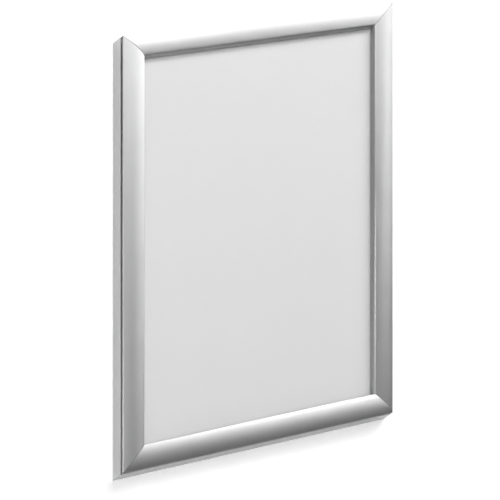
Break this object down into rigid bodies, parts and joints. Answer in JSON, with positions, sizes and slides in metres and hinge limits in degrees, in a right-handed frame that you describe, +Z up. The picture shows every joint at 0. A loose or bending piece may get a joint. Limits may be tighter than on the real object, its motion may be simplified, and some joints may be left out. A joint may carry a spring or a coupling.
{
  "type": "wall snap frame",
  "caption": "Wall-mounted portrait poster frame: mitred satin aluminium rails with sprung covers that hinge outward to free the insert and its clear film.",
  "frame": {"origin": "centre of the four wall screw holes, on the wall plane at the middle of the frame's back", "axes": "+Z up along the long sides, +X to the right seen from the front, -Y out of the wall towards the viewer, so the frame faces -Y"},
  "size_m": [0.327, 0.013, 0.45],
  "materials": {
    "base_aluminium": "satin silver anodised extrusion",
    "cover_aluminium": "satin silver anodised extrusion",
    "spring_steel": "bare spring steel strip",
    "key_steel": "zinc-plated pressed steel",
    "panel_plastic": "matt light grey sheet",
    "insert_paper": "plain uncoated white paper",
    "film_plastic": "clear film with a matt anti-glare face"
  },
  "bodies": {
    "root": {"base_rail_bottom": "base_aluminium", "base_rail_right": "base_aluminium", "base_rail_top": "base_aluminium", "base_rail_left": "base_aluminium", "corner_key_bottom_left": "key_steel", "corner_key_bottom_right": "key_steel", "corner_key_top_right": "key_steel", "corner_key_top_left": "key_steel", "back_panel": "panel_plastic", "insert_sheet": "insert_paper", "cover_film": "film_plastic"},
    "cover_bottom": {"snap_cover_bottom": "cover_aluminium"},
    "springs_bottom": {"click_spring_bottom_1": "spring_steel", "click_spring_bottom_2": "spring_steel"},
    "cover_right": {"snap_cover_right": "cover_aluminium"},
    "springs_right": {"click_spring_right_1": "spring_steel", "click_spring_right_2": "spring_steel", "click_spring_right_3": "spring_steel"},
    "cover_top": {"snap_cover_top": "cover_aluminium"},
    "springs_top": {"click_spring_top_1": "spring_steel", "click_spring_top_2": "spring_steel"},
    "cover_left": {"snap_cover_left": "cover_aluminium"},
    "springs_left": {"click_spring_left_1": "spring_steel", "click_spring_left_2": "spring_steel", "click_spring_left_3": "spring_steel"}
  },
  "joints": [
    {"name": "cover_bottom_hinge", "type": "hinge", "parent": "root", "child": "cover_bottom", "pos_m": [0, -0.008, -0.2231], "axis": [1, 0, 0], "range_deg": [0, 90]},
    {"name": "cover_right_hinge", "type": "hinge", "parent": "root", "child": "cover_right", "pos_m": [0.1616, -0.008, 0], "axis": [0, 0, 1], "range_deg": [0, 90]},
    {"name": "cover_top_hinge", "type": "hinge", "parent": "root", "child": "cover_top", "pos_m": [0, -0.008, 0.2231], "axis": [-1, 0, 0], "range_deg": [0, 90]},
    {"name": "cover_left_hinge", "type": "hinge", "parent": "root", "child": "cover_left", "pos_m": [-0.1616, -0.008, 0], "axis": [0, 0, -1], "range_deg": [0, 90]},
    {"name": "springs_bottom_rock", "type": "hinge", "parent": "root", "child": "springs_bottom", "pos_m": [0, -0.0075, -0.2122], "axis": [1, 0, 0], "range_deg": [-20.7, 0]},
    {"name": "springs_right_rock", "type": "hinge", "parent": "root", "child": "springs_right", "pos_m": [0.1507, -0.0075, 0], "axis": [0, 0, 1], "range_deg": [-20.7, 0]},
    {"name": "springs_top_rock", "type": "hinge", "parent": "root", "child": "springs_top", "pos_m": [0, -0.0075, 0.2122], "axis": [-1, 0, 0], "range_deg": [-20.7, 0]},
    {"name": "springs_left_rock", "type": "hinge", "parent": "root", "child": "springs_left", "pos_m": [-0.1507, -0.0075, 0], "axis": [0, 0, -1], "range_deg": [-20.7, 0]}
  ],
  "couplings": [
    {"joint": "springs_bottom_rock", "follows": "cover_bottom_hinge", "ratio": -0.23},
    {"joint": "springs_right_rock", "follows": "cover_right_hinge", "ratio": -0.23},
    {"joint": "springs_top_rock", "follows": "cover_top_hinge", "ratio": -0.23},
    {"joint": "springs_left_rock", "follows": "cover_left_hinge", "ratio": -0.23}
  ]
}
